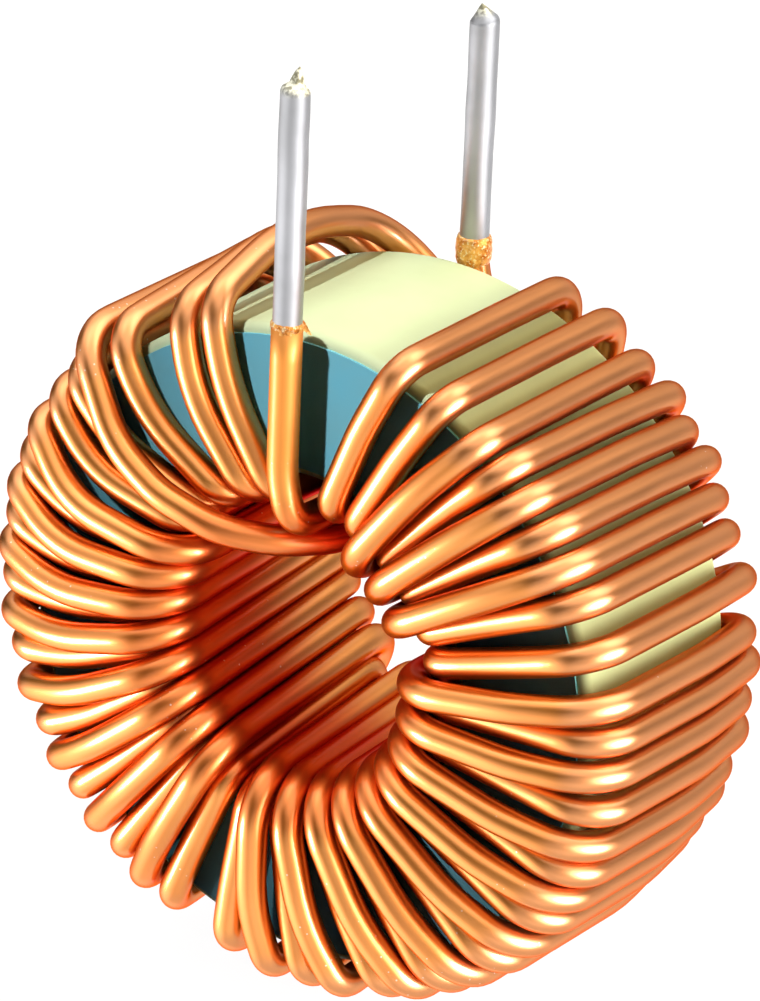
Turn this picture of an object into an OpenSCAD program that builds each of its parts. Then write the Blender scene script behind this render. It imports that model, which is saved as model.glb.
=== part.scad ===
// Toroidal inductor: a coated powder core carrying one heavy enamelled winding,
// with two straight tinned leads.
// The core's axis lies along Y, the blue face looks to -Y and both leads stand up along +Z.
// The origin is under the core's middle, at the height of the lowest turn.
// Angles run round the core from its top (+Z) towards +X.

/* [Core] */
// Outer diameter of the coated core
core_od = 26.9; // [26.7:0.1:32]
// Diameter of the hole through the coated core
hole_d = 14.7; // [14.6:0.1:16]
// Height of the core along its axis, coats included
core_h = 9.95; // [8:0.05:14]
// Radius on the core's four edges
edge_r = 0.4; // [0.2:0.05:0.8]
// Thickness of the blue coat on the front face
coat_t = 0.1; // [0.05:0.01:0.2]

/* [Wire] */
// Diameter of the enamelled wire
wire_d = 1.25; // [1.1:0.01:1.25]
// Diameter of the copper where the enamel is stripped
bare_d = 1.1; // [0.9:0.01:1.1]
// Gap between the wire and the core
wire_gap = 0.04; // [0.02:0.01:0.08]
// How much further the turns stand off the rim
rim_slack = 0.12; // [0.08:0.01:0.3]
// Rise of a turn that lies in the valley between its two neighbours
layer_step = 1.14; // [1.14:0.01:1.3]

/* [Leads] */
// Height of the tin on the front lead, above the top of the core
front_lead_rise = 10.35; // [6:0.05:30]
// Height of the tin on the rear lead, above the top of the core
rear_lead_rise = 9.95; // [6:0.05:30]
// Height above the top of the core where the tin begins
tin_clear = 0.85; // [0.85:0.05:4]
// Outer diameter of the tinned leads
tin_d = 1.18; // [1.16:0.01:1.24]
// Gap between the copper and the bore of the tin
tin_fit = 0.01; // [0.005:0.005:0.02]
// Length of the drip point on the front lead
front_tip = 0.9; // [0.3:0.1:1.5]
// Length of the cone on the rear lead
rear_tip = 0.7; // [0.3:0.1:1.5]
// Sideways shift of each lead from the core's middle
lead_shift = 0.27; // [0:0.01:0.4]
// Thickness of the collar of burnt enamel on the rear lead
collar_wall = 0.125; // [0.08:0.005:0.25]
// Height of that collar
collar_h = 1; // [0.6:0.1:1]

/* [Hidden] */
$fn = 96;

core_r = core_od / 2;
hole_r = hole_d / 2;
wire_r = wire_d / 2;
stand_off = wire_gap + wire_r;          // wire's centre line above the core's skin
edge_bend = edge_r + stand_off;         // bend of the centre line round an edge of the core
rim_bend = edge_bend + rim_slack;
over_bend = edge_bend + layer_step;     // the same bend one layer further out
rear_y = core_h / 2 + stand_off;        // centre line of the runs across each face
front_y = -rear_y;
rim_r = core_r + stand_off + rim_slack; // centre line of the runs over the rim
under_r = hole_r - stand_off;           // centre line in the hole, first layer
over_r = under_r - layer_step;          // centre line in the hole, second layer
centre_z = rim_r + wire_r;              // height of the core's middle
lead_y = front_y - wire_r;              // centre line of the front lead
// Heights above the core's centre
tin_start = core_r + tin_clear;
front_lead_top = core_r + front_lead_rise;
rear_lead_top = core_r + rear_lead_rise;

// ---- The lie of the turns ----
// Turn 1 was wound last and lies right of the leads, turn 49 was wound first and lies left of them.
// Each table runs over the turns, as [turn, value], with straight lines between its rows.
turns = 49;
cross_turn = 46;                        // this turn is pulled loosely across the mouth of the hole

// Angle at which a turn crosses the front edge of the rim
rim_angle = [
    [1, 18.5], [2, 27.5], [3, 36], [4, 41.5], [8, 65], [9, 73], [10, 81.5], [12, 93], [14, 106],
    [17, 122.5], [20, 142], [23, 159], [24, 168], [26, 182], [27, 191], [28, 203.5], [34, 240.5],
    [36, 254.5], [38, 267], [41, 284], [42, 290], [43, 296.5], [44, 303.5], [45, 309.5],
    [46, 315.5], [47, 322], [48, 336.5], [49, 343]
];
// Angle at which it enters the hole at the front
hole_angle = [
    [1, 12.5], [2, 23.5], [3, 31], [7, 58], [8, 64.5], [9, 75.5], [10, 82.5], [26, 187.5],
    [27, 194], [28, 204.5], [29, 210.5], [43, 301.5], [44, 307.5], [45, 318.5], [47, 329.5],
    [48, 340.5], [49, 351.5]
];
// How much further round it lies at the rear, on the rim and in the hole
rim_slant = [[1, 1], [3, 1], [4, 2.5], [40, 2.5], [46, 3], [47, 2], [48, -1.5], [49, 0.5]];
hole_slant = [[1, 8], [3, 8], [24, 6], [30, 8], [45, 8], [47, 7.5], [48, 8.5], [49, 8.5]];
// Bow of a front run towards the turn before it
front_bow = [
    [1, 0], [28, 0], [32, 0.5], [35, 2], [38, 3], [43, 6.5], [44, 6.5], [45, 4], [47, 4.5],
    [48, 4.5], [49, 3]
];
// Runs of turns that alternate between the two layers, from the first second-layer turn to the last
over_runs = [[3, 7], [10, 26], [29, 43]];

// How much of its swing a front run has made by its way point, against an even swing
front_swing = [[1, 1], [30, 1], [31, 0.45], [49, 0.45]];
// Each run across a face has one way point, placed as a share of the way from hole to rim
front_way = 0.575;
rear_way = 0.54;
// Rise of a second-layer turn at those points, in layer steps
front_lift = 0.88;
rear_lift = 0.92;
// Rise of every turn at the rear rim, and of one that follows a second-layer turn, in layer steps
rim_lift = 0.2;
next_lift = 0.3;
// Swing of a second-layer turn past its own line as it enters the hole
hook = 0.16;
// The bend at those points is wider than any leg allows, so the legs set it
way_bend = core_od;

// From here on a height is a share of the way from the second layer to the rim,
// and a bend is in wire diameters.
// The loose turn and the foot of the front lead, corner by corner, as [angle, height, depth, rise, bend]:
// the depth is -1 on the front runs' plane and 1 on the rear runs' plane, the rise is in wire diameters
cross_route = [
    [311.5, 0.6, -1, -0.85, 6.4], [316, 0.29, -1, -1.1, 4], [330, 0.02, -1, -0.9, 3.2],
    [349, -0.1, -1, 0.2, 3.2], [5, -0.12, -0.67, 0, 3.2], [18, -0.06, -0.3, 0, 2.4],
    [24, -0.04, 0.64, 0, 1.6], [8, -0.135, 1, -0.1, 2.72], [350, -0.1, 1, 0.5, 2.72],
    [341, 0.03, 1, 1.1, 2.4], [332, 0.23, 1, 1.1, 2.4], [325.5, 0.48, 1, 0.9, 3.2],
    [319.5, 0.69, 1, 0.65, 3.2]
];
lead_route = [[2.5, 0.04, -1, -0.5, 1.44], [12, 0.04, 1, 0.5, 1.44], [357.5, 0.57, 1, 0.65, 5.6]];
// Where each lead turns upright, as [height, bend]
front_upright = [0.26, 4.4];
rear_upright = [0.88, 3.76];
// The three turns that stand off the rim in an arc, as
// [turn, height at the rear, angle of its middle, height there, height at the front, rear bend]
arcs = [
    [47, 1.08, 323.5, 1.06, 1.02, 1.6],
    [48, 1.06, 337, 1.12, 1.02, 1.76],
    [49, 1.03, 343.5, 1.21, 1.04, 2.72]
];
// Their bend at the front
arc_bend = 1.2;
// How far the loose turn stands off the rim at the rear and at the front
cross_spare = [0.5 * wire_d, 0.7 * wire_d];

// End of each lead's point, as a share of the tin's diameter
front_point = 0.25;
rear_point = 0.4;
// The collar is thickest between these shares of its height
collar_belly = [0.45, 0.8];
// Thickness of the collar at its lower end
collar_lip = 0.05;

// ---- Way points ----
function at(angle, r, y) = [r * sin(angle), y, centre_z + r * cos(angle)];
function above_centre(x, y, height) = [x, y, centre_z + height];
// Distance from the core's axis, as a share of the way from the second layer to the rim
function out(share) = over_r + share * (rim_r - over_r);
function way(from, to, share) = from + share * (to - from);
function route(rows) = [
    for (c = rows) [at(c[0], out(c[1]), c[2] * rear_y + c[3] * wire_d), c[4] * wire_d]
];
function is_over(n) = len([
    for (run = over_runs) if (n >= run[0] && n <= run[1] && (n - run[0]) % 2 == 0) n
]) > 0;
function rear_rim_angle(n) = lookup(n, rim_angle) + lookup(n, rim_slant);
function rear_hole_angle(n) = lookup(n, hole_angle) + lookup(n, hole_slant);

// The corners where a turn passes over the rim, each as [point, bend]
function over_rim(n) =
    let (arc = [for (row = arcs) if (row[0] == n) row])
    len(arc) > 0 ? standing_arc(n, arc[0]) :
    let (
        spare = n == cross_turn ? cross_spare : [0, 0],
        lift = (is_over(n + 1) ? next_lift : rim_lift) * layer_step
    )
    [
        [at(rear_rim_angle(n), rim_r + spare[0], rear_y + lift), rim_bend + spare[0]],
        [at(lookup(n, rim_angle), rim_r + spare[1], front_y), rim_bend + spare[1]]
    ];
function standing_arc(n, row) = [
    [at(rear_rim_angle(n), out(row[1]), rear_y), row[5] * wire_d],
    [at(row[2], out(row[3]), 0), way_bend],
    [at(lookup(n, rim_angle), out(row[4]), front_y), arc_bend * wire_d]
];

// The corners from there across the front, through the hole and across the rear to the next turn
function through_hole(n) =
    let (
        over = is_over(n),
        r = over ? over_r : under_r,
        rise = over ? layer_step : 0,
        bend = over ? over_bend : edge_bend,
        rim_a = lookup(n, rim_angle),
        hole_a = lookup(n, hole_angle),
        rear_a = rear_hole_angle(n),
        next_a = rear_rim_angle(n - 1),
        front_turn = (hole_a - rim_a) * (1 - front_way) * lookup(n, front_swing),
        front_a = rim_a - lookup(n, front_bow) + front_turn,
        back_a = way(next_a, rear_a, 1 - rear_way),
        swing = over ? hook : 0
    )
    [
        [at(front_a, way(under_r, rim_r, front_way), front_y - front_lift * rise), way_bend],
        [at(hole_a + swing * (hole_a - front_a), r, front_y - rise), bend],
        [at(rear_a + swing * (rear_a - back_a), r, rear_y + rise), bend],
        if (n > 1) [at(back_a, way(under_r, rim_r, rear_way), rear_y + rear_lift * rise), way_bend]
    ];

corners = concat(
    [
        [above_centre(-lead_shift, lead_y, tin_start), 0],
        [above_centre(-lead_shift, lead_y, out(front_upright[0])), front_upright[1] * wire_d]
    ],
    route(lead_route),
    [
        for (k = [0:turns - 1])
            let (n = turns - k)
            for (corner = concat(over_rim(n), n == cross_turn ? route(cross_route) : through_hole(n)))
                corner
    ],
    [
        [above_centre(lead_shift, rear_y, out(rear_upright[0])), rear_upright[1] * wire_d],
        [above_centre(lead_shift, rear_y, tin_start), 0]
    ]
);

// ---- The sweep ----
chord_angle = 30;                       // turn that one chord of a bend stands for
leg_share = 0.49;                       // most of a leg that one bend takes
function unit(v) = v / norm(v);
// The points that stand in for a corner: an arc's chords, laid outside the arc
function bent(before, corner, after, bend) =
    let (
        u = unit(before - corner),
        v = unit(after - corner),
        turn = 180 - acos(max(-1, min(1, u * v))),
        steps = max(1, round(turn / chord_angle))
    )
    steps == 1 ? [corner] :
    let (
        leg = min(norm(before - corner), norm(after - corner)),
        reach = min(bend * tan(turn / 2), leg_share * leg),
        r = reach / tan(turn / 2),
        centre = corner + unit(u + v) * r / cos(turn / 2),
        start = unit(corner + u * reach - centre),
        step = turn / steps
    )
    [
        for (k = [0:steps - 1])
            let (a = (k + 0.5) * step)
            centre + (start * cos(a) - u * sin(a)) * r / cos(step / 2)
    ];
last = len(corners) - 1;
line = concat(
    [corners[0][0]],
    [
        for (i = [1:last - 1])
            for (p = bent(corners[i - 1][0], corners[i][0], corners[i + 1][0], corners[i][1])) p
    ],
    [corners[last][0]]
);

sides = 8;
end = len(line) - 1;
heading = [for (i = [0:end - 1]) unit(line[i + 1] - line[i])];
// The section's corners at the start of the wire, square to its heading
first_section = [
    for (k = [0:sides - 1])
        let (a = (k + 0.5) * 360 / sides)
        wire_r * [cos(a), sin(a), 0]
];
// Where lines along the wire through a section's corners meet the mitre at the next point
function mitred(i, section) =
    let (n = unit(heading[i - 1] + heading[i]))
    [for (o = section) o - heading[i - 1] * (o * n) / (heading[i - 1] * n)];
function squared(i, ring) = [for (o = ring) o - heading[i] * (o * heading[i])];
// Ring by ring along the wire: [ring, square section after it]
rings = [
    for (
        i = 1, ring = mitred(1, first_section), section = squared(1, ring);
        i < end;
        i = i + 1,
        ring = i < end ? mitred(i, section) : ring,
        section = i < end ? squared(i, ring) : section
    )
        [ring, section]
];
last_section = rings[len(rings) - 1][1];
bare = bare_d / wire_d;
function placed(ring, point) = [for (o = ring) point + o];
wire_rings = concat(
    [
        placed(first_section * bare, above_centre(-lead_shift, lead_y, front_lead_top - tin_fit)),
        placed(first_section * bare, line[0]),
        placed(first_section, line[0])
    ],
    [for (i = [1:end - 1]) placed(rings[i - 1][0], line[i])],
    [
        placed(last_section, line[end]),
        placed(last_section * bare, line[end]),
        placed(last_section * bare, above_centre(lead_shift, rear_y, rear_lead_top - tin_fit))
    ]
);

module winding() {
    count = len(wire_rings);
    color("#e8893f")
        polyhedron(
            points = [for (ring = wire_rings) for (p = ring) p],
            faces = concat(
                [[for (k = [0:sides - 1]) sides - 1 - k]],
                [
                    for (i = [0:count - 2])
                        for (k = [0:sides - 1])
                            let (m = (k + 1) % sides)
                            [i * sides + k, i * sides + m, (i + 1) * sides + m, (i + 1) * sides + k]
                ],
                [[for (k = [0:sides - 1]) (count - 1) * sides + k]]
            ),
            convexity = 20
        );
}

// ---- The core ----
// Its section, turned about the Y axis
module core() {
    color("#e6efc4")
        translate(above_centre(0, 0, 0))
            rotate([90, 0, 0])
                rotate_extrude($fn = 180)
                    translate([hole_r, -core_h / 2]) rounded_section(core_r - hole_r, core_h - coat_t);
}

module rounded_section(width, height) {
    translate([edge_r, 0]) square([width - 2 * edge_r, height]);
    translate([0, edge_r]) square([width, height - 2 * edge_r]);
    for (x = [edge_r, width - edge_r])
        for (y = [edge_r, height - edge_r])
            translate([x, y]) circle(edge_r, $fn = 32);
}

// The blue coat covers the flat of the front face, between the rounded edges
module face_coat() {
    color("#74afbb")
        translate(above_centre(0, 0, 0))
            rotate([90, 0, 0])
                translate([0, 0, core_h / 2 - coat_t])
                    difference() {
                        cylinder(h = coat_t, r = core_r - edge_r);
                        translate([0, 0, -coat_t]) cylinder(h = 3 * coat_t, r = hole_r + edge_r);
                    }
}

// ---- The tinned leads ----
module front_lead_tin() {
    translate(above_centre(-lead_shift, lead_y, tin_start))
        tin(front_lead_top - tin_start, front_tip, front_point);
}

module rear_lead_tin() {
    translate(above_centre(lead_shift, rear_y, tin_start))
        tin(rear_lead_top - tin_start, rear_tip, rear_point);
}

// A tin coat with a blind bore for the stripped wire, closed by a pointed tip
module tin(length, tip, point) {
    color("#c9c9c6")
        difference() {
            union() {
                cylinder(h = length, d = tin_d);
                translate([0, 0, length]) cylinder(h = tip, d1 = tin_d, d2 = tin_d * point);
            }
            translate([0, 0, -wire_d]) cylinder(h = length + wire_d, d = bare_d + 2 * tin_fit);
        }
}

// Burnt enamel swells round the wire just under the rear tin
module rear_collar() {
    inner = wire_r + tin_fit;
    outer = wire_r + collar_wall;
    color("#d08a35")
        translate(above_centre(lead_shift, rear_y, tin_start - collar_h))
            rotate_extrude()
                polygon([
                    [inner, 0], [inner + collar_lip, 0],
                    [outer, collar_h * collar_belly[0]], [outer, collar_h * collar_belly[1]],
                    [outer - collar_lip, collar_h], [inner, collar_h]
                ]);
}

core();
face_coat();
winding();
front_lead_tin();
rear_lead_tin();
rear_collar();
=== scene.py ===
"""Looks of the toroidal inductor: a two-colour powder core wound with enamelled copper, both leads tinned."""

import math

import bpy
import numpy as np
from mathutils import Matrix, Vector, noise


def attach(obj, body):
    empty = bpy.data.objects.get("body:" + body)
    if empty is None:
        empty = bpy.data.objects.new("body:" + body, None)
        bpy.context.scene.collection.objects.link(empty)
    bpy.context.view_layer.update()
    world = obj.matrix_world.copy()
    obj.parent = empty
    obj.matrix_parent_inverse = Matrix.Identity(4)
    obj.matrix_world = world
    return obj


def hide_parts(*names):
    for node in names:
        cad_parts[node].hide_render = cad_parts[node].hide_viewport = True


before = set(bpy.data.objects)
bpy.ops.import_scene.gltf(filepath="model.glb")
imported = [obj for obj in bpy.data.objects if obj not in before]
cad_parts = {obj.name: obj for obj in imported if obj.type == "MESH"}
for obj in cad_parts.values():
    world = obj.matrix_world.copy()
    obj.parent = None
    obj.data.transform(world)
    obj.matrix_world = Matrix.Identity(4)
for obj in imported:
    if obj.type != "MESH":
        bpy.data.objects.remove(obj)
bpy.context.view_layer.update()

MM = 0.001

# ---- Sizes, in millimetres; heights on the leads are above the core's middle ----
CORE_OD = 26.9
CORE_ID = 14.7
CORE_H = 9.95
# Radius on the core's four edges
EDGE_R = 0.4
WIRE_D = 1.25
# Gap between the wire and the core, and how much further the turns stand off the rim
WIRE_GAP = 0.04
RIM_SLACK = 0.12
# Rise of a turn that lies in the valley between its two neighbours
LAYER_STEP = 1.14
# Sideways shift of each lead from the core's middle
LEAD_SHIFT = 0.27
# Where the tin begins on both leads and ends on each, and the length of the point above its end
TIN_START = 14.3
FRONT_LEAD_TOP = 23.7
REAR_LEAD_TOP = 23.4
FRONT_TIP = 1.0
REAR_TIP = 0.7
TIN_D = 1.18

CORE_R = CORE_OD / 2
HOLE_R = CORE_ID / 2
WIRE_R = WIRE_D / 2
# The wire's centre line: how far it stands off the core, its bends, its depth on each face and on the
# front lead, and its distance from the core's axis
STAND_OFF = WIRE_GAP + WIRE_R
EDGE_BEND = EDGE_R + STAND_OFF
RIM_BEND = EDGE_BEND + RIM_SLACK
OVER_BEND = EDGE_BEND + LAYER_STEP
REAR_Y = CORE_H / 2 + STAND_OFF
FRONT_Y = -REAR_Y
LEAD_Y = FRONT_Y - WIRE_R
RIM_R = CORE_R + STAND_OFF + RIM_SLACK
UNDER_R = HOLE_R - STAND_OFF
OVER_R = UNDER_R - LAYER_STEP
# Height of the core's middle above the floor
CENTRE_Z = RIM_R + WIRE_R

# ---- The lie of the turns ----
# Turn 1 was wound last and lies right of the leads, turn 49 was wound first and lies left of them.
# Angles are in degrees and run round the core from its top towards +X.
# Each table runs over the turns, as [turn, value], with straight lines between its rows.
TURNS = 49
# This turn is pulled loosely across the mouth of the hole
CROSS_TURN = 46
# Angle at which a turn crosses the front edge of the rim
RIM_ANGLE = [
    [1, 18.5], [2, 27.5], [3, 36], [4, 41.5], [8, 65], [9, 73], [10, 81.5], [12, 93], [14, 106],
    [17, 122.5], [20, 142], [23, 159], [24, 168], [26, 182], [27, 191], [28, 203.5], [34, 240.5],
    [36, 254.5], [38, 267], [41, 284], [42, 290], [43, 296.5], [44, 303.5], [45, 309.5],
    [46, 315.5], [47, 322], [48, 336.5], [49, 343],
]
# Angle at which it enters the hole at the front
HOLE_ANGLE = [
    [1, 12.5], [2, 23.5], [3, 31], [7, 58], [8, 64.5], [9, 75.5], [10, 82.5], [26, 187.5],
    [27, 194], [28, 204.5], [29, 210.5], [43, 301.5], [44, 307.5], [45, 318.5], [47, 329.5],
    [48, 340.5], [49, 351.5],
]
# How much further round it lies at the rear, on the rim and in the hole
RIM_SLANT = [[1, 1], [3, 1], [4, 2.5], [40, 2.5], [46, 3], [47, 2], [48, -1.5], [49, 0.5]]
HOLE_SLANT = [[1, 8], [3, 8], [24, 6], [30, 8], [45, 8], [47, 7.5], [48, 8.5], [49, 8.5]]
# How much of its swing a front run has made by its way point, against an even swing
FRONT_SWING = [[1, 1], [30, 1], [31, 0.45], [49, 0.45]]
# Bow of a front run towards the turn before it
FRONT_BOW = [
    [1, 0], [28, 0], [32, 0.5], [35, 2], [38, 3], [43, 6.5], [44, 6.5], [45, 4], [47, 4.5],
    [48, 4.5], [49, 3],
]
# Runs of turns that alternate between the two layers, from the first second-layer turn to the last
OVER_RUNS = [[3, 7], [10, 26], [29, 43]]
# Each run across a face has one way point, placed as a share of the way from hole to rim
FRONT_WAY = 0.575
REAR_WAY = 0.54
# Rise of a second-layer turn at those points, in layer steps
FRONT_LIFT = 0.88
REAR_LIFT = 0.92
# Rise of every turn at the rear rim, and of one that follows a second-layer turn, in layer steps
RIM_LIFT = 0.2
NEXT_LIFT = 0.3
# Swing of a second-layer turn past its own line as it enters the hole
HOOK = 0.16
# Bend at those points
WAY_BEND = 10
# The loose turn and the foot of the front lead, corner by corner, as [angle, share, depth, rise, bend]:
# the share goes from the second layer to the rim, the depth is -1 on the front runs' plane and 1 on
# the rear runs' plane, and the rise is in wire diameters
CROSS_ROUTE = [
    [311.5, 0.6, -1, -0.85, 8], [316, 0.29, -1, -1.1, 5], [330, 0.02, -1, -0.9, 4],
    [349, -0.1, -1, 0.2, 4], [5, -0.12, -0.67, 0, 4], [18, -0.06, -0.3, 0, 3],
    [24, -0.04, 0.64, 0, 2], [8, -0.135, 1, -0.1, 3.4], [350, -0.1, 1, 0.5, 3.4],
    [341, 0.03, 1, 1.1, 3], [332, 0.23, 1, 1.1, 3], [325.5, 0.48, 1, 0.9, 4],
    [319.5, 0.69, 1, 0.65, 4],
]
LEAD_ROUTE = [[2.5, 0.04, -1, -0.5, 1.8], [12, 0.04, 1, 0.5, 1.8], [357.5, 0.57, 1, 0.65, 7]]
# Where each lead turns upright, as (share, bend)
FRONT_UPRIGHT = (0.26, 5.5)
REAR_UPRIGHT = (0.88, 4.7)
# The three turns that stand off the rim in an arc, as
# [share at the rear, angle of its middle, share there, share at the front, rear bend]
ARCS = {
    47: [1.08, 323.5, 1.06, 1.02, 2.0],
    48: [1.06, 337, 1.12, 1.02, 2.2],
    49: [1.03, 343.5, 1.21, 1.04, 3.4],
}
# Their bend at the front
ARC_BEND = 1.5
# How far the loose turn stands off the rim at the rear and at the front
CROSS_SPARE = (0.5 * WIRE_D, 0.7 * WIRE_D)
# How far the turns on the right bow out over the rim, and the depth at which they do so most
RIM_BOW = [[3, 0], [6, 0.35], [9, 0.6], [18, 0.7], [21, 0.4], [23, 0]]
BOW_Y = WIRE_D
# How far their front corners stand out past the rim
FRONT_STAND = [[3, 0], [6, 0.25], [9, 0.48], [18, 0.48], [21, 0.25], [23, 0]]
# For each millimetre of that, how far the rear corners stand out and the front ones come forward
REAR_STAND = 0.25
FORWARD = 0.35
# For each millimetre of that too, how much wider the bends are at the front and at the rear
FRONT_EASE = 3.2
REAR_EASE = 2.0


# ---- The wire's corners, each as (point, bend radius) ----
def at(angle, r, y):
    """The point at an angle round the core, a distance from its axis and a depth."""
    a = math.radians(angle)
    return np.array([r * math.sin(a), y, CENTRE_Z + r * math.cos(a)])


def above_centre(x, y, height):
    """The point at a height above the core's middle."""
    return np.array([x, y, CENTRE_Z + height])


def out(share):
    """Distance from the core's axis, as a share of the way from the second layer to the rim."""
    return OVER_R + share * (RIM_R - OVER_R)


def table(rows, n):
    """A table's value for a turn."""
    turns, values = zip(*rows)
    return float(np.interp(n, turns, values))


def route(rows):
    """The corners that the rows of a route stand for."""
    return [(at(a, out(share), depth * REAR_Y + rise * WIRE_D), bend) for a, share, depth, rise, bend in rows]


def is_over(n):
    """Whether a turn lies in the second layer, in the valley between its neighbours."""
    return any(first <= n <= last and (n - first) % 2 == 0 for first, last in OVER_RUNS)


def rear_rim_angle(n):
    """Angle at which a turn crosses the rear edge of the rim."""
    return table(RIM_ANGLE, n) + table(RIM_SLANT, n)


def over_rim(n):
    """Corners where a turn passes over the rim, rear first."""
    front = table(RIM_ANGLE, n)
    if n in ARCS:
        rear_share, middle, middle_share, front_share, bend = ARCS[n]
        return [
            (at(rear_rim_angle(n), out(rear_share), REAR_Y), bend),
            (at(middle, out(middle_share), 0), WAY_BEND),
            (at(front, out(front_share), FRONT_Y), ARC_BEND),
        ]
    rear_y = REAR_Y + (NEXT_LIFT if is_over(n + 1) else RIM_LIFT) * LAYER_STEP
    if n == CROSS_TURN:
        rear_spare, front_spare = CROSS_SPARE
        return [
            (at(rear_rim_angle(n), RIM_R + rear_spare, rear_y), RIM_BEND + rear_spare),
            (at(front, RIM_R + front_spare, FRONT_Y), RIM_BEND + front_spare),
        ]
    stand = table(FRONT_STAND, n)
    middle = (front + rear_rim_angle(n)) / 2
    return [
        (at(rear_rim_angle(n), RIM_R + REAR_STAND * stand, rear_y), RIM_BEND + REAR_EASE * stand),
        (at(middle, RIM_R + table(RIM_BOW, n), BOW_Y), WAY_BEND),
        (at(front, RIM_R + stand, FRONT_Y - FORWARD * stand), RIM_BEND + FRONT_EASE * stand),
    ]


def through_hole(n):
    """Corners across the front, through the hole and across the rear to the next turn."""
    over = is_over(n)
    r = OVER_R if over else UNDER_R
    rise = LAYER_STEP if over else 0
    bend = OVER_BEND if over else EDGE_BEND
    rim_a = table(RIM_ANGLE, n)
    hole_a = table(HOLE_ANGLE, n)
    rear_a = hole_a + table(HOLE_SLANT, n)
    next_a = rear_rim_angle(n - 1)
    swing = (hole_a - rim_a) * (1 - FRONT_WAY) * table(FRONT_SWING, n)
    front_a = rim_a - table(FRONT_BOW, n) + swing
    back_a = next_a + (rear_a - next_a) * (1 - REAR_WAY)
    hook = HOOK if over else 0
    front_r = UNDER_R + FRONT_WAY * (RIM_R - UNDER_R)
    back_r = UNDER_R + REAR_WAY * (RIM_R - UNDER_R)
    corners = [
        (at(front_a, front_r, FRONT_Y - FRONT_LIFT * rise), WAY_BEND),
        (at(hole_a + hook * (hole_a - front_a), r, FRONT_Y - rise), bend),
        (at(rear_a + hook * (rear_a - back_a), r, REAR_Y + rise), bend),
    ]
    if n > 1:
        corners.append((at(back_a, back_r, REAR_Y + REAR_LIFT * rise), WAY_BEND))
    return corners


def wire_corners():
    """The whole wire, from the front lead down, through every turn and up the rear lead."""
    front_share, front_bend = FRONT_UPRIGHT
    rear_share, rear_bend = REAR_UPRIGHT
    corners = [
        (above_centre(-LEAD_SHIFT, LEAD_Y, TIN_START), 0),
        (above_centre(-LEAD_SHIFT, LEAD_Y, out(front_share)), front_bend),
    ]
    corners += route(LEAD_ROUTE)
    for n in range(TURNS, 0, -1):
        corners += over_rim(n)
        corners += route(CROSS_ROUTE) if n == CROSS_TURN else through_hole(n)
    corners += [
        (above_centre(LEAD_SHIFT, REAR_Y, out(rear_share)), rear_bend),
        (above_centre(LEAD_SHIFT, REAR_Y, TIN_START), 0),
    ]
    return corners


# ---- The wire's centre line ----
# Most of a leg that one bend takes
LEG_SHARE = 0.49
# Degrees that one chord of a bend stands for, and the turn in radians below which a corner stays as it is
CHORD_ANGLE = 3
LEAST_TURN = 0.01
# Distance between the points of the line
LINE_STEP = 0.12
# Millimetres over which a bend is eased, and how many times that the easing reaches on either side
RELAX = 0.22
RELAX_REACH = 3


def unit(v):
    return v / np.linalg.norm(v)


def rounded(before, corner, after, bend):
    """Points of the arc that rounds one corner."""
    u = unit(before - corner)
    v = unit(after - corner)
    turn = math.pi - math.acos(float(np.clip(u @ v, -1, 1)))
    if turn < LEAST_TURN:
        return [corner]
    half = math.tan(turn / 2)
    legs = (LEG_SHARE * np.linalg.norm(before - corner), LEG_SHARE * np.linalg.norm(after - corner))
    reach = min(bend * half, *legs)
    r = reach / half
    centre = corner + unit(u + v) * r / math.cos(turn / 2)
    start = unit(corner + u * reach - centre)
    steps = max(2, math.ceil(math.degrees(turn) / CHORD_ANGLE))
    angles = np.linspace(0, turn, steps + 1)
    return [centre + r * (start * math.cos(a) - u * math.sin(a)) for a in angles]


def centre_line(corners):
    """Evenly spaced points along the wire, with its bends eased as stiff wire eases them."""
    points = [corners[0][0]]
    for (before, _), (corner, bend), (after, _) in zip(corners, corners[1:], corners[2:]):
        points += rounded(before, corner, after, bend)
    points.append(corners[-1][0])
    points = np.array(points)
    travel = np.concatenate([[0], np.cumsum(np.linalg.norm(np.diff(points, axis=0), axis=1))])
    even = np.arange(0, travel[-1], LINE_STEP)
    line = np.stack([np.interp(even, travel, points[:, k]) for k in range(3)], axis=1)
    spread = int(RELAX_REACH * RELAX / LINE_STEP)
    weights = np.exp(-0.5 * (np.arange(-spread, spread + 1) * LINE_STEP / RELAX) ** 2)
    weights /= weights.sum()
    padded = np.concatenate([
        2 * line[0] - line[spread:0:-1],
        line,
        2 * line[-1] - line[-2:-spread - 2:-1],
    ])
    return np.stack([np.convolve(padded[:, k], weights, mode="valid") for k in range(3)], axis=1)


# ---- Meshes ----
WIRE_SIDES = 24
# A ring of the wire stands for this many millimetres of straight run, or this many degrees of bend
RING_REACH = 1.5
RING_TURN = 7.5
# A direction that no tube starts along, to set its first side
ASKEW = [0.3, 1.0, 0.2]
# Distance from a tube's centre line at which the noise for its lumps is read
LUMP_R = 0.6


def thinned(line):
    """Ring places along a line, close together in bends and further apart on straights."""
    steps = np.diff(line, axis=0)
    lengths = np.linalg.norm(steps, axis=1)
    headings = steps / lengths[:, None]
    turns = np.degrees(np.arccos(np.clip((headings[1:] * headings[:-1]).sum(axis=1), -1, 1)))
    cost = np.concatenate([[0], np.cumsum(lengths / RING_REACH)])
    cost[1:] += np.concatenate([[0], np.cumsum(turns)]) / RING_TURN
    stops = np.linspace(0, cost[-1], math.ceil(cost[-1]) + 1)
    return np.stack([np.interp(stops, cost, line[:, k]) for k in range(3)], axis=1)


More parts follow.
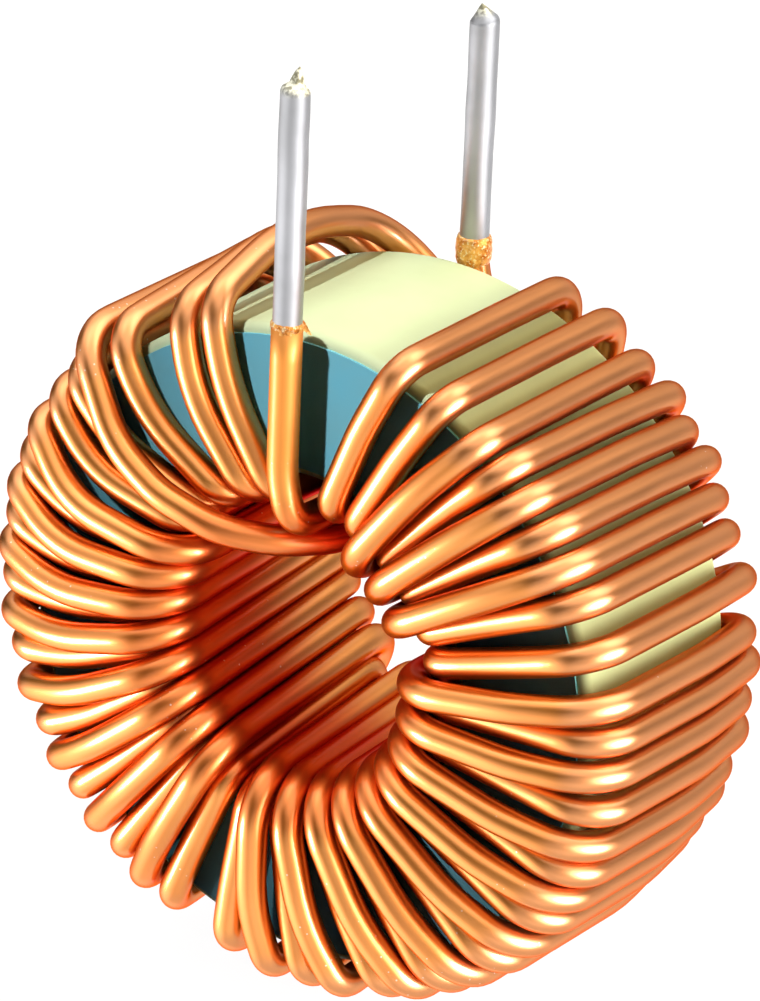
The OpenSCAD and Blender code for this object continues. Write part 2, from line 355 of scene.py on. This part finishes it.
def square_frames(line):
    """Two directions across the line at each ring, carried along without twist."""
    headings = np.gradient(line, axis=0)
    headings /= np.linalg.norm(headings, axis=1)[:, None]
    side = unit(np.cross(headings[0], ASKEW))
    sides = []
    for heading in headings:
        side = unit(side - heading * (side @ heading))
        sides.append(side)
    sides = np.array(sides)
    return sides, np.cross(headings, sides)


def placed(name, mesh, finish):
    """A piece of the object made from a mesh."""
    piece = bpy.data.objects.new(name, mesh)
    bpy.context.collection.objects.link(piece)
    mesh.materials.append(finish)
    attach(piece, "root")
    return piece


def swept(name, line, radii, finish):
    """A closed tube round a line; radii has a row for each ring and a column for each side."""
    rings, count = radii.shape
    across, over = square_frames(line)
    angles = np.linspace(0, 2 * math.pi, count, endpoint=False)
    points = (
        line[:, None, :]
        + radii[:, :, None] * np.cos(angles)[None, :, None] * across[:, None, :]
        + radii[:, :, None] * np.sin(angles)[None, :, None] * over[:, None, :]
    ).reshape(-1, 3)
    ring = np.repeat(np.arange(rings - 1), count)
    side = np.tile(np.arange(count), rings - 1)
    after = (side + 1) % count
    low = ring * count
    walls = np.stack([low + side, low + after, low + count + after, low + count + side], axis=1)
    ends = [list(range(count))[::-1], list(range((rings - 1) * count, rings * count))]
    mesh = bpy.data.meshes.new(name)
    mesh.from_pydata((points * MM).tolist(), [], walls.tolist() + ends)
    mesh.polygons.foreach_set("use_smooth", [True] * len(walls) + [False, False])
    travel = np.concatenate([[0], np.cumsum(np.linalg.norm(np.diff(line, axis=0), axis=1))])
    u = np.stack([side, side + 1, side + 1, side], axis=1) / count
    v = travel[np.stack([ring, ring, ring + 1, ring + 1], axis=1)]
    uv = np.concatenate([np.stack([u, v], axis=2).reshape(-1, 2), np.zeros((2 * count, 2))])
    mesh.uv_layers.new(name="Around and along").data.foreach_set("uv", uv.ravel())
    return placed(name, mesh, finish)


def lumps(line, count, size, height, seed):
    """Uneven swelling of a tube, one value for each side of each ring."""
    across, over = square_frames(line)
    rows = []
    for k, centre in enumerate(line):
        row = []
        for a in np.linspace(0, 2 * math.pi, count, endpoint=False):
            point = centre + LUMP_R * (math.cos(a) * across[k] + math.sin(a) * over[k])
            row.append(height * noise.noise(Vector(point / size) + Vector((seed, 0, 0))))
        rows.append(row)
    return np.array(rows)


# ---- Colours ----
def shade(code):
    """A linear colour from a six-figure code."""
    parts = [int(code[k:k + 2], 16) / 255 for k in (0, 2, 4)]
    return [c / 12.92 if c <= 0.04045 else ((c + 0.055) / 1.055) ** 2.4 for c in parts] + [1]


WHITE = (1, 1, 1, 1)
BLACK = (0, 0, 0, 1)
# Copper under enamel: on the faces, in its faint clouds, over the rim as a paler painted reflection, by the
# hot tin, and in the hole as painted shade
COPPER = shade("e8923e")
COPPER_CLOUD = shade("e28835")
RIM_REFLECTION_COPPER = shade("d88a4a")
HEATED_COPPER = shade("d9903e")
HOLE_SHADE_COPPER = shade("c82a08")
# What its mirror shine is tinted with at a glancing angle
COPPER_EDGE = (0.66, 0.2, 0.05, 1)
DUST = shade("fff4dc")
# Tin, the clouds in it, and the pits and grains at its tips
TIN = shade("b6b6b9")
TIN_CLOUD = shade("a6a6a8")
TIP_PIT = shade("8d8a72")
TIP_GRAIN = shade("f4f2dc")
# Burnt enamel, and the pale glints painted into its colour
BURNT_BROWN = shade("c8761f")
BURNT_AMBER = shade("efb25c")
PAINTED_GLINT = shade("ffecbc")
# The core's two coats and the clouds in both
PALE_GREEN = shade("d0dfb6")
TEAL = shade("7bcfe8")
COAT_CLOUD = shade("a8b088")


# ---- Finishes ----
class Value:
    """What a node gives out; arithmetic on a number adds Math nodes."""

    def __init__(self, finish, socket):
        self.finish = finish
        self.socket = socket

    def maths(self, operation, first, second=0.0):
        """A Math node on one or two numbers."""
        return self.finish.node("ShaderNodeMath", {"operation": operation}, {0: first, 1: second}, 0)

    def __add__(self, other):
        return self.maths("ADD", self, other)

    def __sub__(self, other):
        return self.maths("SUBTRACT", self, other)

    def __rsub__(self, other):
        return self.maths("SUBTRACT", other, self)

    def __mul__(self, other):
        return self.maths("MULTIPLY", self, other)

    __radd__ = __add__
    __rmul__ = __mul__

    def rise(self, low, high):
        """Nought up to low, one from high on, and a soft slope between."""
        sockets = {"Value": self, "From Min": low, "From Max": high}
        return self.finish.node("ShaderNodeMapRange", {"interpolation_type": "SMOOTHSTEP"}, sockets, 0)

    def rise_mm(self, low, high):
        """The same for a place on the object, between two marks in millimetres."""
        return self.rise(low * MM, high * MM)


class Finish:
    """A shader and the nodes that feed it, for a material or for the surroundings."""

    def __init__(self, owner, shader, constants):
        owner.use_nodes = True
        self.tree = owner.node_tree
        self.shader = self.tree.nodes[shader]
        for key, value in constants.items():
            self.feed(self.shader, key, value)

    def feed(self, node, key, value):
        """Link a value to one socket of a node, or set it to a constant."""
        if isinstance(value, Value):
            self.tree.links.new(value.socket, node.inputs[key])
        else:
            node.inputs[key].default_value = value

    def vary(self, key, value):
        """Let a value feed one socket of the shader."""
        self.feed(self.shader, key, value)

    def node(self, kind, settings, sockets, output):
        """A new node with its settings and what feeds it, as the Value of one of its outputs."""
        node = self.tree.nodes.new(kind)
        for key, value in settings.items():
            setattr(node, key, value)
        for key, value in sockets.items():
            self.feed(node, key, value)
        return Value(self, node.outputs[output])

    def place(self, axis=None):
        """Where a point of the object is, in metres, or how far along one axis."""
        spot = self.node("ShaderNodeTexCoord", {}, {}, "Object")
        return spot if axis is None else self.node("ShaderNodeSeparateXYZ", {}, {0: spot}, axis)

    def grain(self, scale, detail=3.0, where=None):
        """Noise over the surface, with about scale spots a metre."""
        sockets = {"Vector": where or self.place(), "Scale": scale, "Detail": detail}
        return self.node("ShaderNodeTexNoise", {}, sockets, 0)

    def specks(self, scale, size):
        """One on small scattered dots, nought between them."""
        sockets = {"Vector": self.place(), "Scale": scale}
        return 1 - self.node("ShaderNodeTexVoronoi", {}, sockets, "Distance").rise(size, 1.6 * size)

    def mix(self, share, first, second):
        """A colour between two others, nearer the second as the share grows."""
        return self.node("ShaderNodeMix", {"data_type": "RGBA"}, {0: share, 6: first, 7: second}, 2)

    def wrapped(self, axis):
        """The turn round a wire, or the millimetres along it."""
        uv = self.node("ShaderNodeUVMap", {"uv_map": "Around and along"}, {}, 0)
        return self.node("ShaderNodeSeparateXYZ", {}, {0: uv}, axis)

    def along(self, around_scale, along_scale):
        """Coordinates wrapped round a wire, so that grain runs along it with no seam."""
        turn = self.wrapped("X") * (2 * math.pi)
        parts = {
            "X": turn.maths("COSINE", turn) * around_scale,
            "Y": turn.maths("SINE", turn) * around_scale,
            "Z": self.wrapped("Y") * along_scale,
        }
        return self.node("ShaderNodeCombineXYZ", {}, parts, 0)

    def bump(self, height, depth_mm, strength=1.0):
        """Fine relief, as deep as this where the height goes from nought to one."""
        sockets = {"Height": height, "Distance": depth_mm * MM, "Strength": strength}
        self.vary("Normal", self.node("ShaderNodeBump", {}, sockets, 0))


def material(name, **constants):
    """A finish for pieces; each constant goes by its socket's name, with _ for a space."""
    owner = bpy.data.materials.new(name)
    sockets = {key.replace("_", " "): value for key, value in constants.items()}
    finish = Finish(owner, "Principled BSDF", sockets)
    finish.material = owner
    return finish


# Where the copper's finish changes, as two marks in millimetres: outwards across the hole's wall, back
# through the hole and back at its mouth, which bound the painted shade in the hole; outwards at the rim,
# which bounds the painted reflection there; and along the wire from the front tin
HOLE_MARKS = (UNDER_R - 0.3, UNDER_R + 0.9)
DEPTH_MARKS = (-2.5, 3.5)
MOUTH_MARKS = (-6.5, -4)
RIM_MARKS = (CORE_R - 0.5, CORE_R + 0.5)
HEAT_MARKS = (5, 9)
# Where a tinned lead's tip begins, along its tin
TIP_MARKS = (9.75, 10.2)
# Where the core's own skin turns from green to blue, just behind its front face
FACE_MARKS = (-(CORE_H / 2 - 0.06), -(CORE_H / 2 - 0.03))


def enamelled_copper():
    """Copper under clear enamel, with painted shade deepening its colour through the hole, a paler painted
    reflection over the rim, and duller by the front lead's tin.
    """
    finish = material("enamelled_copper", Metallic=1.0, Specular_Tint=COPPER_EDGE, Coat_Roughness=0.16,
                      Coat_IOR=1.5)
    cloud = finish.grain(250, 2)
    streak = finish.grain(1.0, 3, where=finish.along(3.2, 0.5))
    sideways = finish.place("X")
    upwards = finish.place("Z") - CENTRE_Z * MM
    squares = sideways * sideways + upwards * upwards
    reach = squares.maths("SQRT", squares)
    depth = finish.place("Y")
    in_hole = (1 - reach.rise_mm(*HOLE_MARKS)) * (1 - depth.rise_mm(*DEPTH_MARKS))
    # Painted shade: strongest just inside the front of the hole, weaker at its front mouth, fading out
    # towards its rear
    painted_hole_shade = in_hole * (0.4 + depth.rise_mm(*MOUTH_MARKS) * 0.6)
    heated = 1 - finish.wrapped("Y").rise(*HEAT_MARKS)
    dust = finish.specks(2400, 0.07) * finish.grain(160, 1).rise(0.56, 0.64)
    colour = finish.mix(cloud.rise(0.35, 0.7), COPPER, COPPER_CLOUD)
    # Painted reflection: paler, rosier copper on the turns over the rim
    colour = finish.mix(reach.rise_mm(*RIM_MARKS), colour, RIM_REFLECTION_COPPER)
    colour = finish.mix(heated * 0.7, colour, HEATED_COPPER)
    # Painted shade: deep red copper through the hole
    colour = finish.mix(painted_hole_shade * 0.8, colour, HOLE_SHADE_COPPER)
    finish.vary("Base Color", finish.mix(dust * 0.5, colour, DUST))
    finish.vary("Roughness", 0.24 + streak * 0.14 + cloud * 0.04 + heated * 0.22)
    grazing = finish.node("ShaderNodeLayerWeight", {}, {"Blend": 0.5}, "Facing")
    # The coat also thins at a glancing angle, by the hot tin and where the hole's shade is painted
    finish.vary("Coat Weight", (1 - grazing.rise(0.35, 0.85)) * (1 - heated * 0.8) * (1 - painted_hole_shade * 0.7))
    finish.bump(streak, 0.01, 0.5)
    return finish.material


def tin():
    """Satin solder with faint clouds, and dull grit at its tips."""
    finish = material("tin")
    cloud = finish.grain(400, 3)
    tip = finish.wrapped("Y").rise(*TIP_MARKS)
    spots = finish.grain(5000, 2)
    metal = finish.mix(cloud.rise(0.3, 0.7), TIN, TIN_CLOUD)
    grit = finish.mix(spots.rise(0.4, 0.6), TIP_PIT, TIP_GRAIN)
    finish.vary("Base Color", finish.mix(tip, metal, grit))
    finish.vary("Metallic", 1 - tip * 0.6)
    finish.vary("Roughness", 0.4 + cloud * 0.12)
    finish.bump(finish.grain(1500, 3) + tip * spots, 0.02, 0.3)
    return finish.material


def burnt_enamel():
    """Enamel and flux burnt brown and amber, with pale glints painted into the colour and raised as fine
    bumps.
    """
    finish = material("burnt_enamel", Metallic=0.5)
    spots = finish.grain(2600, 3)
    painted_glint_grain = finish.grain(9000, 2)
    colour = finish.mix(spots.rise(0.38, 0.62), BURNT_BROWN, BURNT_AMBER)
    # Painted highlight: pale glints mixed into the colour
    finish.vary("Base Color", finish.mix(painted_glint_grain.rise(0.52, 0.68) * 0.8, colour, PAINTED_GLINT))
    finish.vary("Roughness", 0.15 + spots * 0.3)
    finish.bump(painted_glint_grain, 0.04)
    return finish.material


def coat(name, paint, face_paint=None):
    """Matt powder coat with faint clouds, and a second paint on the core's front face if one is given."""
    finish = material(name, Specular_IOR_Level=0.05)
    cloud = finish.grain(450, 3)
    colour = finish.mix(cloud.rise(0.25, 0.75) * 0.12, paint, COAT_CLOUD)
    if face_paint is not None:
        colour = finish.mix(finish.place("Y").rise_mm(*FACE_MARKS), colour, face_paint)
    finish.vary("Base Color", colour)
    finish.vary("Roughness", 0.4 + cloud * 0.12)
    finish.bump(finish.grain(2200, 2), 0.02, 0.4)
    return finish.material


copper = enamelled_copper()
bright_tin = tin()
burnt = burnt_enamel()
coats = {"core": coat("core_coat", PALE_GREEN, TEAL), "face_coat": coat("blue_coat", TEAL)}
for node, finish in coats.items():
    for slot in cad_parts[node].material_slots:
        slot.material = finish

# ---- The wire ----
wire_line = thinned(centre_line(wire_corners()))
wire_radii = np.full((len(wire_line), WIRE_SIDES), WIRE_R)
wire = swept("wire", wire_line, wire_radii, copper)
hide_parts("winding")


# ---- The tinned leads ----
LEAD_SIDES = 40
LEAD_RING = 0.06
# How far down inside the wire's end the tin starts
TIN_LAP = 0.5
# Size and height of the slow waves in the tin and of the grit at its tips, and how soon the grit is full
WAVES = (1.6, 0.03)
GRIT = (0.16, 0.09)
GRIT_SEED = 20
GRIT_GROWTH = 5
# Least radius of a tip
LEAST_R = 0.01
# Level and to the right as the camera sees it, the way that a tip leans and a flake stands off
SIDEWAYS = np.array([0.83, 0.56, 0.0])


def upright(x, y, low, high, step):
    """The centre line of an upright tube, with a ring about every step."""
    heights = np.linspace(low, high, math.ceil((high - low) / step) + 1)
    return np.stack([np.full(len(heights), x), np.full(len(heights), y), CENTRE_Z + heights], axis=1)


def tinned_lead(name, place, top, tip, slimming, lean, seed, node):
    """A dipped lead; slimming rows are [share of the tip's height, share of the lead's radius]."""
    line = upright(*place, TIN_START - TIN_LAP, top + tip, LEAD_RING)
    share = np.clip((line[:, 2] - CENTRE_Z - top) / tip, 0, 1)
    line += (lean * share)[:, None] * SIDEWAYS
    shares, sizes = zip(*slimming)
    profile = TIN_D / 2 * np.interp(share, shares, sizes)
    wavy = np.minimum(profile / TIN_D * 2, 1)[:, None]
    gritty = (np.minimum(share * GRIT_GROWTH, 1) * profile / TIN_D)[:, None]
    waves = lumps(line, LEAD_SIDES, *WAVES, seed) * wavy
    grit = lumps(line, LEAD_SIDES, *GRIT, seed + GRIT_SEED) * gritty
    piece = swept(name, line, np.maximum(profile[:, None] + waves + grit, LEAST_R), bright_tin)
    piece.visible_shadow = False
    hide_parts(node)


ICICLE = [[0, 1], [0.08, 0.97], [0.2, 0.76], [0.3, 0.56], [0.4, 0.46], [0.6, 0.38], [0.8, 0.24], [1, 0.03]]
CONE = [[0, 1], [0.1, 0.95], [1, 0.04]]
FRONT_PLACE = (-LEAD_SHIFT, LEAD_Y)
REAR_PLACE = (LEAD_SHIFT, REAR_Y)
# How far the end of each tip leans to the right
FRONT_LEAN = 0.14
REAR_LEAN = -0.15
tinned_lead("front_tin", FRONT_PLACE, FRONT_LEAD_TOP, FRONT_TIP, ICICLE, FRONT_LEAN, 3, "front_lead_tin")
tinned_lead("rear_tin", REAR_PLACE, REAR_LEAD_TOP, REAR_TIP, CONE, REAR_LEAN, 9, "rear_lead_tin")

# ---- Burnt enamel where the tin begins ----
CRUST_SIDES = 60
CRUST_RING = 0.04
# Lower and upper end of each crust, and the size and height of its lumps
COLLAR_ENDS = (TIN_START - 1.2, TIN_START + 0.14)
COLLAR_LUMPS = (0.3, 0.025)
EDGE_ENDS = (TIN_START - 0.5, TIN_START + 0.12)
EDGE_LUMPS = (0.22, 0.035)
# How far it stands proud of the wire, as [share of its height, millimetres]
COLLAR_SWELL = [[0, -0.02], [0.25, 0.09], [0.55, 0.12], [0.8, 0.1], [0.94, 0.05], [1, -0.07]]
EDGE_SWELL = [[0, -0.05], [0.4, 0.0], [0.8, 0.02], [1, -0.06]]


def crust(name, place, ends, swelling, lumpiness, seed):
    """A ragged sleeve round the wire."""
    line = upright(*place, *ends, CRUST_RING)
    shares, swells = zip(*swelling)
    swell = np.interp(np.linspace(0, 1, len(line)), shares, swells)
    radii = WIRE_R + swell[:, None] + lumps(line, CRUST_SIDES, *lumpiness, seed)
    return swept(name, line, radii, burnt)


collar = crust("rear_collar_crust", REAR_PLACE, COLLAR_ENDS, COLLAR_SWELL, COLLAR_LUMPS, 5)
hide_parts("rear_collar")
crust("front_edge_crust", FRONT_PLACE, EDGE_ENDS, EDGE_SWELL, EDGE_LUMPS, 8)


def flake(name, place, points, thickness):
    """A thin chip of lifted enamel; points are (sideways, up, back) from the start of the tin."""
    back = np.array([-SIDEWAYS[1], SIDEWAYS[0], 0])
    centre = np.array([*place, CENTRE_Z + TIN_START])
    outer = [centre + side * SIDEWAYS + np.array([0, 0, up]) + depth * back for side, up, depth in points]
    inner = [point + thickness * back for point in outer]
    count = len(points)
    faces = [list(range(count))[::-1], list(range(count, 2 * count))]
    faces += [[k, (k + 1) % count, (k + 1) % count + count, k + count] for k in range(count)]
    mesh = bpy.data.meshes.new(name)
    mesh.from_pydata((np.array(outer + inner) * MM).tolist(), [], faces)
    placed(name, mesh, burnt)


LIFTED = [
    (0.5, 0.02, 0), (0.6, 0.14, 0), (0.68, 0.02, 0.03), (0.8, -0.2, 0.05), (0.95, -0.5, 0.04),
    (0.8, -0.44, 0.02), (0.66, -0.3, 0), (0.55, -0.4, -0.03),
]
FLAKE_T = 0.04
flake("lifted_flake", FRONT_PLACE, LIFTED, FLAKE_T)

# ---- Lamps ----
CENTRE = Vector((0, 0, CENTRE_Z * MM))
LAMP_DISTANCE = 0.6


def direction(azimuth, elevation):
    """Unit vector from the core towards a viewer."""
    a, e = math.radians(azimuth), math.radians(elevation)
    return Vector((math.sin(a) * math.cos(e), -math.cos(a) * math.cos(e), math.sin(e)))


def hung(lamp, azimuth, elevation, aim):
    """A lamp on its holder, facing a point of the object."""
    holder = bpy.data.objects.new(lamp.name, lamp)
    back = direction(azimuth, elevation)
    holder.location = aim + back * LAMP_DISTANCE
    holder.rotation_euler = back.to_track_quat("Z", "Y").to_euler()
    bpy.context.collection.objects.link(holder)
    return holder


def softbox(name, azimuth, elevation, half_angle, glow, tint):
    """A round panel that faces the core; glow is its brightness, where 1 is white."""
    lamp = bpy.data.lights.new(name, "AREA")
    lamp.shape = "DISK"
    lamp.size = 2 * LAMP_DISTANCE * math.tan(math.radians(half_angle))
    lamp.energy = glow * math.pi * math.pi * lamp.size ** 2 / 4
    lamp.color = tint
    return hung(lamp, azimuth, elevation, CENTRE)


def spotlight(name, azimuth, elevation, aim, reach, size, glow):
    """A soft-edged pool of light; reach is the pool's radius, and a glow of 1 lights white paper to white."""
    lamp = bpy.data.lights.new(name, "SPOT")
    lamp.spot_size = 2 * math.atan(reach / LAMP_DISTANCE)
    lamp.spot_blend = 1
    lamp.shadow_soft_size = size
    lamp.energy = glow * 4 * (math.pi * LAMP_DISTANCE) ** 2
    hung(lamp, azimuth, elevation, aim).visible_glossy = False


# Tints of the lamps
PLAIN = (1, 1, 1)
WARM = (1, 0.9, 0.66)
AMBER = (1, 0.72, 0.3)
COOL = (0.9, 1.0, 1.9)
# The key lamp's pool lies over the top of the ring
KEY_AIM = CENTRE + Vector((3 * MM, 0, 10.5 * MM))
KEY_REACH = 18 * MM
KEY_SIZE = 12 * MM
KEY_GLOW = 1.24
# Panels that light the object, and panels that only the wire mirrors,
# as (name, azimuth, elevation, half angle, glow, tint)
FILLS = [
    ("left_fill", -98, 45, 20, 2.4, PLAIN),
    ("right_fill", 112, 10, 20, 14, WARM),
    ("rear_fill", 170, 5, 25, 4, PLAIN),
    ("top_fill", 112, 48, 20, 3.2, AMBER),
]
SHEENS = [
    ("left_sheen", -47, -16, 12, 14, COOL),
    ("right_sheen", 90, -2, 16, 15, COOL),
]

spotlight("key", -19, 48, KEY_AIM, KEY_REACH, KEY_SIZE, KEY_GLOW)
for panel in FILLS:
    softbox(*panel).visible_glossy = False
on_wire = bpy.data.collections.new("on_wire")
on_wire.objects.link(wire)
for panel in SHEENS:
    sheen = softbox(*panel)
    sheen.visible_diffuse = False
    sheen.light_linking.receiver_collection = on_wire

# ---- Surroundings: white to the eye, pale cards on a dim wall in a gloss, and almost no fill ----
studio = bpy.data.worlds.new("studio")
studio.cycles.sampling_method = "NONE"
bpy.context.scene.world = studio
sky = Finish(studio, "Background", {"Color": WHITE})
outwards = sky.node("ShaderNodeTexCoord", {}, {}, "Generated")
WALL = 0.06
FILL = 0.01
# Shares of a card's half angle up to which it is full, and at which it is gone
CARD_FULL = 0.4
CARD_GONE = 1.5
# Each card as (azimuth, elevation, half angle, glow)
CARDS = [
    (-47, -18, 36, 1.5), (86, 2, 25, 5.0), (60, 72, 36, 1.7), (-60, 50, 24, 1.0),
    (-115, 62, 30, 1.2), (-128, -50, 30, 1.3), (45, -12, 34, 0.8), (-127, 20, 20, 0.6),
    (0, -90, 60, 1.0), (173, -15, 36, 0.7), (180, 50, 36, 0.5), (130, 58, 20, 2.2),
]


def card(azimuth, elevation, half_angle, glow):
    """A pale card with soft edges, as seen from the core."""
    settings = {"operation": "DOT_PRODUCT"}
    sockets = {0: outwards, 1: direction(azimuth, elevation)}
    facing = sky.node("ShaderNodeVectorMath", settings, sockets, "Value")
    full = math.cos(math.radians(half_angle * CARD_FULL))
    gone = math.cos(math.radians(half_angle * CARD_GONE))
    return facing.rise(gone, full) * glow


mirrored = WALL
for place in CARDS:
    mirrored += card(*place)
eye = sky.node("ShaderNodeLightPath", {}, {}, "Is Camera Ray")
gloss = sky.node("ShaderNodeLightPath", {}, {}, "Is Glossy Ray")
scattered = sky.node("ShaderNodeLightPath", {}, {}, "Diffuse Depth").rise(0, 1)
seen_in_gloss = gloss * (1 - scattered)
sky.vary("Strength", eye + (1 - eye) * (seen_in_gloss * mirrored + (1 - seen_in_gloss) * FILL))

# ---- Floor: paper that is white to the eye only, so that it gives the object no light ----
FLOOR_HALF = 1.2
FLOOR_CORNERS = [(-1, -1), (1, -1), (1, 1), (-1, 1)]
PAPER = (0.12, 0.12, 0.12, 1)
PAPER_GLOW = 0.97
floor_mesh = bpy.data.meshes.new("floor")
floor_mesh.from_pydata([(x * FLOOR_HALF, y * FLOOR_HALF, 0) for x, y in FLOOR_CORNERS], [], [(0, 1, 2, 3)])
floor = bpy.data.objects.new("floor", floor_mesh)
bpy.context.collection.objects.link(floor)
floor.visible_glossy = False
floor.visible_diffuse = False
floor.visible_shadow = False
paper = material("white_paper", Base_Color=PAPER, Roughness=0.9, Emission_Strength=PAPER_GLOW)
is_eye = paper.node("ShaderNodeLightPath", {}, {}, "Is Camera Ray")
paper.vary("Emission Color", paper.mix(is_eye, BLACK, WHITE))
floor_mesh.materials.append(paper.material)

# ---- Camera; its distances are in core radii, and places in the frame are in pixels ----
VIEW_AZIMUTH = 34.07
VIEW_ELEVATION = 24.65
VIEW_ROLL = 2.458
FRAME_WIDTH = 760
FRAME_HEIGHT = 1001
UNIT = CORE_R * MM
PIXELS_A_UNIT = 336.33
DISTANCE = 1 / 0.0591
# Where the core's middle is in the frame, from the left and from the top
CENTRE_COLUMN = 373.165
CENTRE_ROW = 607.206
SENSOR_HEIGHT = 36
NEAREST = 0.01
FURTHEST = 10

back = direction(VIEW_AZIMUTH, VIEW_ELEVATION)
level_right = direction(VIEW_AZIMUTH + 90, 0)
level_up = back.cross(level_right)
roll = math.radians(VIEW_ROLL)
right = level_right * math.cos(roll) + level_up * math.sin(roll)
up = level_up * math.cos(roll) - level_right * math.sin(roll)
aside = CENTRE_COLUMN - FRAME_WIDTH / 2
below = CENTRE_ROW - FRAME_HEIGHT / 2
camera = bpy.data.objects.new("camera", bpy.data.cameras.new("camera"))
camera.data.sensor_fit = "VERTICAL"
camera.data.sensor_height = SENSOR_HEIGHT
camera.data.lens = PIXELS_A_UNIT * DISTANCE / FRAME_HEIGHT * SENSOR_HEIGHT
camera.data.clip_start = NEAREST
camera.data.clip_end = FURTHEST
spot = CENTRE + UNIT * (back * DISTANCE - right * aside / PIXELS_A_UNIT + up * below / PIXELS_A_UNIT)
camera.matrix_world = Matrix.Translation(spot) @ Matrix((right, up, back)).transposed().to_4x4()
bpy.context.collection.objects.link(camera)
bpy.context.scene.camera = camera
bpy.context.scene.view_settings.view_transform = "Standard"
